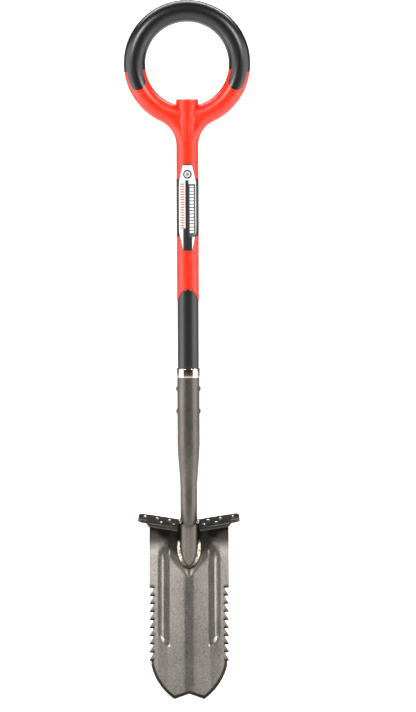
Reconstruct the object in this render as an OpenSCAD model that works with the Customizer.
// Long ring-handled digging shovel with a serrated steel blade.
// The shaft axis is x = 0, y = 0; the blade tips stand at z = 0 and the user's side of the blade faces -y.

/* [Ring handle] */
// Height of the ring's centre above the blade tips
ring_z = 1012.6; // [960:0.1:1060]
// Radius of the ring's centreline
ring_r = 83.8; // [78:0.1:100]
// Diameter of the ring's round section
ring_t = 35.2; // [30:0.1:38]
// Diameter of the moulded ring inside the soft grip
ring_core_t = 27; // [22:0.5:28]
// How far below level the soft grip runs round the ring, in degrees
grip_drop = 8; // [4:1:14]
// How far below level the round ends of the grip's front tongues are centred, in degrees
tongue_drop = 20.4; // [17:0.2:24]
// Width of the grip's front tongues
tongue_w = 26; // [20:0.5:28]
// Top of the hub boss above the blade tips
hub_top = 956.4; // [952:0.1:962]
// Diameter of the hub boss
hub_d = 36.6; // [36.4:0.1:38]
// Radius of the fillets between ring and shaft
yoke_r = 42; // [36:1:50]
// Thickness of the yoke's web, front to back
yoke_t = 27; // [20:1:32]

/* [Shaft] */
// Diameter of the moulded shaft
shaft_d = 36; // [34:0.1:36.6]
// Diameter of the fibreglass core rod
core_d = 18; // [14:0.5:20]
// Height of the core rod's upper end
core_top = 925; // [880:1:935]
// Height of the shaft's lower end, inside the socket
shaft_end = 414; // [400:1:430]
// Gap between the shaft's lower end and the socket wall
socket_gap = 0.15; // [0.1:0.05:0.3]

/* [Lower grip] */
// Gap between the collar and the lower grip's bottom edge
grip_gap = 0.3; // [0.2:0.1:3]
// Height of the lower grip's top edge at the sides
grip_top = 633; // [606:1:646]
// Height of the tongue on the grip's front
grip_tongue_top = 653; // [640:1:668]
// Outer diameter of the lower grip
grip_d = 34.8; // [33:0.1:36]
// Diameter of the shaft under the lower grip
grip_core_d = 28; // [24:0.5:30]

/* [Label] */
// Height of the label plate's top
plate_top = 853.5; // [846:0.5:862]
// Height of the label plate's bottom
plate_bottom = 715; // [705:1:722]
// Width of the label plate at its widest
plate_w = 31; // [26:0.5:32]
// Height of the black band's lower edge
band_bottom = 738; // [732:1:750]
// Height of the black band's upper edge
band_top = 830; // [805:1:838]
// Thickness of the black band
band_t = 0.3; // [0.2:0.1:0.5]
// Thickness of the label plate
plate_t = 0.8; // [0.6:0.1:1.2]

/* [Socket and collar] */
// Outer diameter of the socket's upper, straight length
socket_d = 36.7; // [35.5:0.1:38]
// Wall of the socket tube
socket_wall = 2; // [1.5:0.1:2.5]
// Outer diameter of the socket's lower end
socket_low_d = 28.2; // [26:0.1:30]
// Height of the socket's top edge
socket_top = 524.8; // [518:0.2:525.6]
// Height where the taper begins
taper_top = 402; // [392:1:408]
// Height where the taper ends
taper_bottom = 331; // [320:1:345]
// Height of the collar's lower edge
collar_z = 511.1; // [506:0.1:514]
// Height of the collar's upper edge
collar_top = 526; // [525.8:0.1:527]
// Outer diameter of the collar
collar_d = 38.8; // [38.2:0.1:40.5]

/* [Rivets] */
// Height of the upper rivet
rivet_high = 492.4; // [488:0.1:496]
// Height of the lower rivet
rivet_low = 456.2; // [452:0.1:462]
// Diameter of the rivet shank
rivet_d = 5; // [4:0.5:6]
// Gap round the rivet shank
rivet_gap = 0.1; // [0.05:0.05:0.2]
// Diameter of the rivet head
head_d = 8.4; // [8:0.1:10]
// Height of the rivet head above the socket
head_h = 2; // [1.5:0.1:2.5]

/* [Blade] */
// Lean of the blade from the shaft line, tips forward, in degrees
lean = 16; // [13:0.5:18]
// Height where the blade's front plane crosses the shaft axis
cross_z = 240; // [232:1:248]
// Thickness of the blade's steel
steel_t = 2.5; // [2:0.1:3]
// Width of the blade at its straight sides
blade_w = 129; // [115:0.5:145]
// Width across the twin points
points_w = 48; // [40:0.5:56]
// Height of the notch between the points
notch_h = 8; // [6:0.5:14]
// Height of the top of each curved cutting edge, along the blade
curve_top = 54; // [48:1:58]
// Bulge of each curved cutting edge from its chord
curve_bulge = 6; // [4:0.5:9]
// Number of teeth on each side
teeth = 10; // [8:1:11]
// Distance from tooth to tooth
pitch = 13; // [12:0.1:13.2]
// Depth of the teeth
tooth_depth = 6.9; // [4:0.1:8]
// Height of the lowest tooth point, along the blade
tooth_low = 62.2; // [60:0.1:66]
// Height of the pressed centre ridge
ridge_h = 6; // [4:0.5:7]
// Depth of the pressed side channels
channel_d = 3.5; // [3:0.5:6]
// Lower end of the side channels, along the blade
channel_low = 88; // [84:1:110]
// Upper end of the side channels, along the blade
channel_high = 238; // [220:1:242]

/* [Treads] */
// Height of the tread's top at its inner rear corner
tread_z = 279; // [274:0.1:286]
// Gap between the socket and each tread's inner end, at the top
tread_gap = 1.9; // [1.5:0.1:3.5]
// Distance of the tread's outer end from the centre
tread_out = 81.4; // [76:0.1:90]
// Depth of the tread, front to back
tread_depth = 43; // [37:0.5:47]
// Depth of the narrower outer lug
lug_depth = 29.5; // [24:0.5:32]
// Thickness of the tread's steel
tread_t = 3; // [2.5:0.1:3.5]
// Forward slope of the tread, in degrees
tread_slope = 12; // [8:1:15]
// Outward rise of the tread, in degrees
tread_rise = 9; // [5:1:12]
// Diameter of the tread's pressed studs
stud_d = 6.6; // [5:0.1:8]
// Height of the tread's pressed studs
stud_h = 2; // [1:0.1:2.5]

/* [Welds] */
// Width of the weld bead round the socket's foot
weld_w = 5.4; // [4:0.1:6]
// Height of the weld bead above the blade
weld_h = 5; // [4:0.1:6]
// Radius of the tread welds
seam_r = 3; // [2:0.1:3.5]

/* [Hidden] */
$fn = 96;
big = 400;
eps = 0.01;

shaft_r = shaft_d / 2;
spigot_r = socket_d / 2 - socket_wall - socket_gap;
socket_low_r = socket_low_d / 2;
grip_z = collar_top + grip_gap;
tread_in = socket_low_r + tread_gap;
tread_len = tread_out - tread_in;
// Studs: distance from the centre, and depth forward of the blade.
stud_places = [[31, 13], [51, 13], [71, 13], [23, 29], [43.5, 29]];
blade_half = blade_w / 2;
point_half = points_w / 2;
curve_half = blade_half - tooth_depth / 2;

// The blade's front plane: y at a height z, and where the socket's cut-off foot ends.
blade_y = -cross_z * tan(lean);
nib_z = cross_z - 33;
nib_angle = atan(socket_low_r / (cross_z - 2 - nib_z));
tread_y = blade_y + tread_z * tan(lean);

// The blade's top edge, along the blade, follows the line where the tread's top meets the blade.
tread_v = tread_z / cos(lean);
top_rise = cos(tread_slope) * sin(tread_rise)
         / ((cos(tread_slope) * cos(tread_rise) - sin(tread_slope) * tan(lean)) * cos(lean));
tab_half = socket_low_r - 2;
tab_v = (cross_z + socket_low_r / tan(lean)) / cos(lean) + 4;

// Angle below level that the tongues' round ends just fail to reach.
tongue_reach = tongue_drop + asin(tongue_w / 2 / ring_r) + 1;

// Fillet circle tangent to the shaft's side and to the ring's outside.
ring_out = ring_r + ring_t / 2;
yoke_x = shaft_r + yoke_r;
yoke_z = ring_z - sqrt(pow(ring_out + yoke_r, 2) - pow(yoke_x, 2));

// ---- Frames ----

module ring_frame() {
    translate([0, 0, ring_z]) rotate([90, 0, 0]) children();
}

module blade_frame() {
    translate([0, blade_y, 0]) rotate([-lean, 0, 0]) children();
}

module tread_frame() {
    translate([tread_in, tread_y, tread_z]) rotate([tread_slope, -tread_rise, 0]) children();
}

module behind_blade() {
    blade_frame() translate([-big / 2, 0, -big]) cube([big, big, 3 * big]);
}

// ---- Handle ----

// The whole ring in its own plane, at a given section diameter.
module ring_bar(d) {
    rotate_extrude() translate([ring_r, 0]) circle(d = d);
}

// Outline of one front tongue: a band that follows the ring down from the grip's end to a round end.
module tongue_outline() {
    half = tongue_w / 2;
    out = [cos(tongue_drop), -sin(tongue_drop)];
    down = [-sin(tongue_drop), -cos(tongue_drop)];
    intersection() {
        difference() {
            circle(r = ring_r + half);
            circle(r = ring_r - half);
        }
        polygon(concat([[0, 0], [big, 0], big * out],
            [for (a = [90:-20:-90]) (ring_r + (half + 1) * sin(a)) * out + half * cos(a) * down]));
    }
}

// Region of the ring that the soft grip covers: the upper sector, and the two tongues on the front.
module grip_region() {
    reach = ring_out + 20;
    translate([0, 0, -ring_t]) linear_extrude(height = 2 * ring_t) polygon([
        [0, 0], reach * [cos(grip_drop), -sin(grip_drop)], [reach, reach], [-reach, reach],
        reach * [-cos(grip_drop), -sin(grip_drop)]]);
    for (side = [0, 1]) mirror([side, 0, 0]) linear_extrude(height = ring_t) tongue_outline();
}

// The ring's soft skin, from one angle through a sweep, in the ring's own plane.
module skin(start, sweep) {
    rotate([0, 0, start]) rotate_extrude(angle = sweep) translate([ring_r, 0]) difference() {
        circle(d = ring_t);
        circle(d = ring_core_t);
    }
}

// What the grip leaves bare on one side, below its end: all of the back, and the front beside the tongue.
module bare_region() {
    wedge = [[0, 0], big * [cos(grip_drop), -sin(grip_drop)], big * [cos(60), -sin(60)]];
    translate([0, 0, -ring_t]) linear_extrude(height = ring_t) polygon(wedge);
    translate([0, 0, -1]) linear_extrude(height = ring_t + 1) difference() {
        polygon(wedge);
        tongue_outline();
    }
}

module ring_grip_shape() {
    ring_frame() difference() {
        skin(-tongue_reach, 180 + 2 * tongue_reach);
        bare_region();
        mirror([1, 0, 0]) bare_region();
    }
}

// Web that fills the two concave fillets between ring and shaft, up to where they meet the ring.
module yoke() {
    touch = (ring_out - 1) / (ring_out + yoke_r);
    meet = [yoke_x * touch, ring_z - (ring_z - yoke_z) * touch];
    rotate([90, 0, 0]) translate([0, 0, -yoke_t / 2]) linear_extrude(height = yoke_t) difference() {
        polygon([[-meet[0], meet[1]], [-shaft_r - 1, yoke_z], [shaft_r + 1, yoke_z], meet,
                 [0, ring_z - ring_r]]);
        for (side = [-1, 1]) translate([side * yoke_x, yoke_z]) circle(r = yoke_r);
    }
}

module lower_tongue_outline() {
    half = 9;
    translate([0, grip_tongue_top - half]) circle(r = half);
    translate([-half, grip_z]) square([2 * half, grip_tongue_top - half - grip_z]);
}

module lower_grip_shape() {
    difference() {
        union() {
            translate([0, 0, grip_z]) cylinder(d = grip_d, h = grip_top - grip_z);
            intersection() {
                translate([0, 0, grip_z + 1]) cylinder(d = grip_d, h = grip_tongue_top - grip_z);
                rotate([90, 0, 0]) linear_extrude(height = shaft_d) lower_tongue_outline();
            }
        }
        translate([0, 0, grip_z - 1]) cylinder(d = grip_core_d, h = grip_tongue_top - grip_z + 3);
    }
}

module rivet_bores(d) {
    for (z = [rivet_low, rivet_high]) translate([-big / 4, 0, z]) rotate([0, 90, 0])
        cylinder(d = d, h = big / 2);
}

module handle_body() {
    color("orangered") difference() {
        union() {
            ring_frame() ring_bar(ring_core_t);
            ring_frame() difference() {
                ring_bar(ring_t);
                grip_region();
            }
            translate([0, 0, grip_z]) cylinder(d = grip_core_d, h = grip_top - grip_z + 1);
            difference() {
                translate([0, 0, grip_top]) cylinder(d = shaft_d, h = ring_z - ring_r - grip_top);
                rotate([90, 0, 0]) linear_extrude(height = shaft_d) lower_tongue_outline();
            }
            translate([0, 0, grip_top]) cylinder(d = grip_core_d, h = grip_tongue_top - grip_top + 1);
            translate([0, 0, ring_z - ring_out]) cylinder(d = hub_d, h = hub_top - ring_z + ring_out);
            translate([0, 0, shaft_end]) cylinder(r = spigot_r, h = grip_z - shaft_end);
            yoke();
        }
        translate([0, 0, shaft_end - 1]) cylinder(d = core_d, h = core_top - shaft_end + 1);
        rivet_bores(rivet_d + 2 * rivet_gap);
    }
}

module ring_grip() {
    color("#2b2b2d") ring_grip_shape();
}

module lower_grip() {
    color("#2b2b2d") lower_grip_shape();
}

module core_rod() {
    color("palegoldenrod") difference() {
        translate([0, 0, shaft_end]) cylinder(d = core_d, h = core_top - shaft_end);
        rivet_bores(rivet_d + 2 * rivet_gap);
    }
}

// ---- Label ----

module band_shape() {
    translate([0, 0, band_bottom]) difference() {
        cylinder(r = shaft_r + band_t, h = band_top - band_bottom);
        translate([0, 0, -1]) cylinder(r = shaft_r, h = band_top - band_bottom + 2);
    }
}

module label_band() {
    color("#1c1c1e") band_shape();
}

module label_plate() {
    top_r = 10;
    low_r = 9.5;
    side_r = 4;
    widest_rise = 12;
    color("silver") difference() {
        intersection() {
            cylinder(r = shaft_r + plate_t, h = ring_z);
            rotate([90, 0, 0]) linear_extrude(height = shaft_d) hull() {
                translate([0, plate_top - top_r]) circle(r = top_r);
                translate([0, plate_bottom + low_r]) circle(r = low_r);
                for (side = [-1, 1])
                    translate([side * (plate_w / 2 - side_r), (plate_top + plate_bottom) / 2 + widest_rise])
                        circle(r = side_r);
            }
        }
        translate([0, 0, -1]) cylinder(r = shaft_r, h = ring_z + 2);
        band_shape();
    }
}

// ---- Socket, collar and rivets ----

// The socket's outside, or its hollow with an inset, as a solid of revolution before its foot is cut.
module socket_turned(inset) {
    over = inset > 0 ? 1 : 0;
    rotate_extrude() polygon([
        [0, -over], [socket_low_r - inset, -over], [socket_low_r - inset, taper_bottom],
        [socket_d / 2 - inset, taper_top], [socket_d / 2 - inset, socket_top + over], [0, socket_top + over]]);
}

// Everything below the socket's oblique end.
module below_nib() {
    translate([0, -socket_low_r, nib_z]) rotate([-nib_angle, 0, 0]) translate([-big / 2, 0, -big])
        cube([big, big, big + socket_low_r / sin(nib_angle)]);
    translate([-big / 2, -big / 2, nib_z - big]) cube([big, big, big]);
}

module socket_outside() {
    difference() {
        socket_turned(0);
        behind_blade();
        below_nib();
    }
}

module socket() {
    color("#57514b") difference() {
        socket_outside();
        socket_turned(socket_wall);
        rivet_bores(rivet_d + 2 * rivet_gap);
    }
}

module collar() {
    lip_r = spigot_r + socket_gap;
    color("#c9c3b8") difference() {
        translate([0, 0, collar_z]) cylinder(d = collar_d, h = collar_top - collar_z);
        translate([0, 0, collar_z - 1]) cylinder(d = socket_d, h = socket_top - collar_z + 1);
        translate([0, 0, collar_z]) cylinder(r = lip_r, h = collar_top - collar_z + 1);
    }
}

// Domed head on the x axis, hollowed underneath to sit on the round socket.
module rivet_head() {
    dome_r = (pow(head_d / 2, 2) + pow(head_h, 2)) / (2 * head_h);
    seat = 2;
    difference() {
        translate([socket_d / 2 - seat, 0, 0]) rotate([0, 90, 0]) rotate_extrude() intersection() {
            translate([0, seat + head_h - dome_r]) circle(r = dome_r);
            square([head_d / 2, seat + head_h]);
        }
        cylinder(d = socket_d, h = 3 * head_d, center = true);
    }
}

// One rivet along x: a plain shank with a head on each side of the socket.
module rivet() {
    translate([-socket_d / 2 - head_h / 2, 0, 0]) rotate([0, 90, 0])
        cylinder(d = rivet_d, h = socket_d + head_h);
    rivet_head();
    mirror([1, 0, 0]) rivet_head();
}

module rivets() {
    color("#6b655e") for (z = [rivet_low, rivet_high]) translate([0, 0, z]) rivet();
}

// ---- Blade ----

// Rounded cutting edge from the point to the lowest tooth: an arc of a given bulge over its chord.
function arc_points(a, b, bulge, n) =
    let (chord = norm(b - a), r = (chord * chord / 4 + bulge * bulge) / (2 * bulge), dir = (b - a) / chord,
         out = [dir[1], -dir[0]], mid = (a + b) / 2 - (r - bulge) * out, half = asin(chord / (2 * r)))
    [for (i = [0:n]) let (t = half * (2 * i / n - 1)) mid + r * (cos(t) * out + sin(t) * dir)];

// Teeth point down and out: each has a nearly level underside and a long sloping back.
function tooth_points() = [for (i = [0:teeth - 1]) each [
    [blade_half - (i == 0 ? tooth_depth / 2 : tooth_depth), tooth_low + i * pitch - 1],
    [blade_half, tooth_low + i * pitch]]];

function half_outline() = concat(
    [[0, notch_h]],
    arc_points([point_half, 0], [curve_half, curve_top], curve_bulge, 12),
    tooth_points(),
    [[blade_half, tread_v + (blade_half - tread_in) * top_rise], [tread_in, tread_v], [tab_half, tread_v],
     [tab_half, tab_v], [0, tab_v]]);

module blade_outline() {
    half = half_outline();
    last = len(half) - 1;
    polygon(concat(half, [for (i = [1:last - 1]) [-half[last - i][0], half[last - i][1]]]));
}

// Cross-section of the pressed sheet: distance from the centre, height toward the user in plain zones,
// and height where the side channels run.
section = [[0, 1, 1], [6, 1, 1], [12, 0.88, 0.88], [33, 0.43, 0.4], [42, 0.24, 0.22], [51, 0, 0.1],
           [blade_half + 2, -0.15, -0.15]];
// How much of the channel's depth each of those places has.
channel_share = [0, 0, 0.05, 1, 1, -0.15, 0];
// Stations along the blade: place, share of the ridge, share of the channels.
stations = [[-20, 1, 0], [channel_low - 12, 1, 0], [channel_low + 4, 1, 1], [nib_z / cos(lean) - 21, 1, 1],
            [nib_z / cos(lean) + 3, 0, 1], [channel_high - 4, 0, 1], [channel_high + 12, 0, 0],
            [tab_v + 10, 0, 0]];

function press(i, k) =
    let (st = stations[k], s = section[i])
    -st[1] * ridge_h * s[1] + st[2] * channel_d * channel_share[i];

module pressed_sheet() {
    n = len(section);
    m = 2 * n - 1;
    rows = len(stations);
    side_i = [for (j = [0:m - 1]) abs(j - n + 1)];
    front = [for (k = [0:rows - 1]) for (j = [0:m - 1])
        [sign(j - n + 1) * section[side_i[j]][0], press(side_i[j], k), stations[k][0]]];
    rear = [for (p = front) p + [0, steel_t, 0]];
    f = rows * m;
    quads = concat(
        [for (k = [0:rows - 2]) for (j = [0:m - 2]) let (a = k * m + j) [a, a + m, a + m + 1, a + 1]],
        [for (k = [0:rows - 2]) for (j = [0:m - 2]) let (a = f + k * m + j) [a, a + 1, a + m + 1, a + m]],
        [for (j = [0:m - 2]) [j, j + 1, f + j + 1, f + j]],
        [for (j = [0:m - 2]) let (a = (rows - 1) * m + j) [a + 1, a, f + a, f + a + 1]],
        [for (k = [0:rows - 2]) let (a = k * m) [a + m, a, f + a, f + a + m]],
        [for (k = [0:rows - 2]) let (a = k * m + m - 1) [a, a + m, f + a + m, f + a]]);
    polyhedron(points = concat(front, rear),
               faces = [for (q = quads) each [[q[0], q[1], q[2]], [q[0], q[2], q[3]]]]);
}

module blade_shape() {
    blade_frame() intersection() {
        pressed_sheet();
        rotate([90, 0, 0]) translate([0, 0, -big / 8]) linear_extrude(height = big / 4) blade_outline();
    }
}

module blade() {
    color("#57514b") blade_shape();
}

// ---- Treads ----

module tread_outline() {
    corner = 5;
    lug_x = blade_half - tread_in;
    difference() {
        translate([0, -tread_depth]) square([tread_len, tread_depth + 12]);
        translate([lug_x + corner, -tread_depth - 1]) square([big, tread_depth - lug_depth + 1]);
        translate([lug_x - eps, -tread_depth - 1])
            square([corner + 2 * eps, tread_depth - lug_depth + 1 - corner]);
        translate([lug_x + corner, -lug_depth - corner]) circle(r = corner);
        translate([tread_len - corner, -lug_depth - 1]) difference() {
            square([corner + 1, corner + 1]);
            translate([0, corner + 1]) circle(r = corner);
        }
    }
}

module tread_shape() {
    difference() {
        tread_frame() {
            translate([0, 0, -tread_t]) linear_extrude(height = tread_t) tread_outline();
            translate([0, -tread_depth, -tread_t / 2 - 0.5]) rotate([0, 90, 0])
                cylinder(d = tread_t + 1, h = blade_half - tread_in);
            for (p = stud_places) translate([p[0] - tread_in, -p[1], 0]) tread_stud();
        }
        behind_blade();
    }
}

module tread_stud() {
    cap_r = (pow(stud_d / 2, 2) + pow(stud_h, 2)) / (2 * stud_h);
    intersection() {
        translate([0, 0, stud_h - cap_r]) sphere(r = cap_r);
        translate([0, 0, -eps]) cylinder(d = stud_d, h = stud_h + 1);
    }
}

module tread_right() {
    color("#57514b") tread_shape();
}

module tread_left() {
    color("#57514b") mirror([1, 0, 0]) tread_shape();
}

// ---- Welds ----

module socket_weld() {
    color("#9a958e") difference() {
        intersection() {
            cylinder(r = socket_low_r + weld_w, h = cross_z + 8);
            blade_frame() translate([-big / 2, -weld_h, nib_z / cos(lean) - 6])
                cube([big, weld_h + steel_t, big]);
        }
        socket_outside();
        socket_turned(socket_wall);
        blade_shape();
        behind_blade();
    }
}

// Fillet bead under the tread, in the corner between tread and blade.
module tread_seam() {
    difference() {
        tread_frame() translate([6, 0, -tread_t]) rotate([0, 90, 0])
            cylinder(r = seam_r, h = blade_half - tread_in - 8);
        behind_blade();
        tread_frame() translate([-big / 2, -big / 2, -tread_t]) cube([big, big, big]);
    }
}

module tread_seam_right() {
    color("#6b655e") tread_seam();
}

module tread_seam_left() {
    color("#6b655e") mirror([1, 0, 0]) tread_seam();
}

// Tack that fills the gap between the tread's inner end and the socket's side, below the tread's top.
module tread_tack() {
    tack_y = -8;
    tack_h = tread_t + 1;
    side_x = sqrt(pow(socket_low_r, 2) - pow(tack_y, 2));
    end_x = tread_in + tack_h * tan(tread_rise);
    difference() {
        translate([(side_x + end_x) / 2, tack_y, tread_z - tack_h])
            cylinder(r = (end_x - side_x) / 2 + 0.5, h = tack_h - 1);
        translate([0, 0, tread_z - 20]) cylinder(r = socket_low_r, h = 40);
        tread_frame() translate([0, -big / 2, -big / 2]) cube(big);
    }
}

module tread_tack_right() {
    color("#9a958e") tread_tack();
}

module tread_tack_left() {
    color("#9a958e") mirror([1, 0, 0]) tread_tack();
}

handle_body();
ring_grip();
lower_grip();
core_rod();
label_band();
label_plate();
collar();
socket();
rivets();
blade();
tread_left();
tread_right();
socket_weld();
tread_seam_left();
tread_seam_right();
tread_tack_left();
tread_tack_right();
